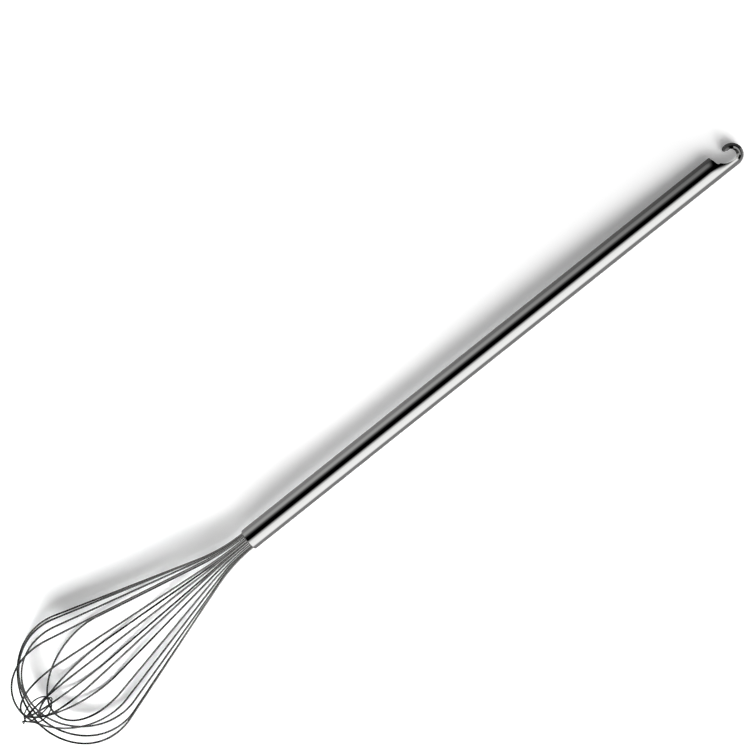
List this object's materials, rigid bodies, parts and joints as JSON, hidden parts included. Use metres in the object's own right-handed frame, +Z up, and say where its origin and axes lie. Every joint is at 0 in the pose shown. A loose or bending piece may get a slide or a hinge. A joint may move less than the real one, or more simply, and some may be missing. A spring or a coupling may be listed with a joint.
{
  "type": "balloon whisk",
  "caption": "Long balloon whisk: polished tube handle ending in a hook bent from the tube, nested wire loops, and a wire tie with a twisted tail at the tip.",
  "frame": {"origin": "on the surface that the whisk lies on, under the middle of its box", "axes": "+X along the whisk, from the wire cage to the hook; +Z up; the hook's mouth opens to +Y"},
  "size_m": [0.9974, 0.1474, 0.1474],
  "materials": {
    "polished_steel": "mirror-polished stainless steel tube",
    "wire_steel": "bright drawn stainless steel wire",
    "tie_steel": "soft annealed stainless steel wire",
    "plug_resin": "cast grey epoxy",
    "cap_steel": "pressed stainless steel sheet"
  },
  "bodies": {
    "root": {"handle_tube": "polished_steel", "seal_plug": "plug_resin", "end_cap": "cap_steel", "tie_wire": "tie_steel", "wire_loop_1": "wire_steel", "wire_loop_2": "wire_steel", "wire_loop_3": "wire_steel", "wire_loop_4": "wire_steel", "wire_loop_5": "wire_steel", "wire_loop_6": "wire_steel", "wire_loop_7": "wire_steel", "wire_loop_8": "wire_steel"}
  },
  "joints": []
}
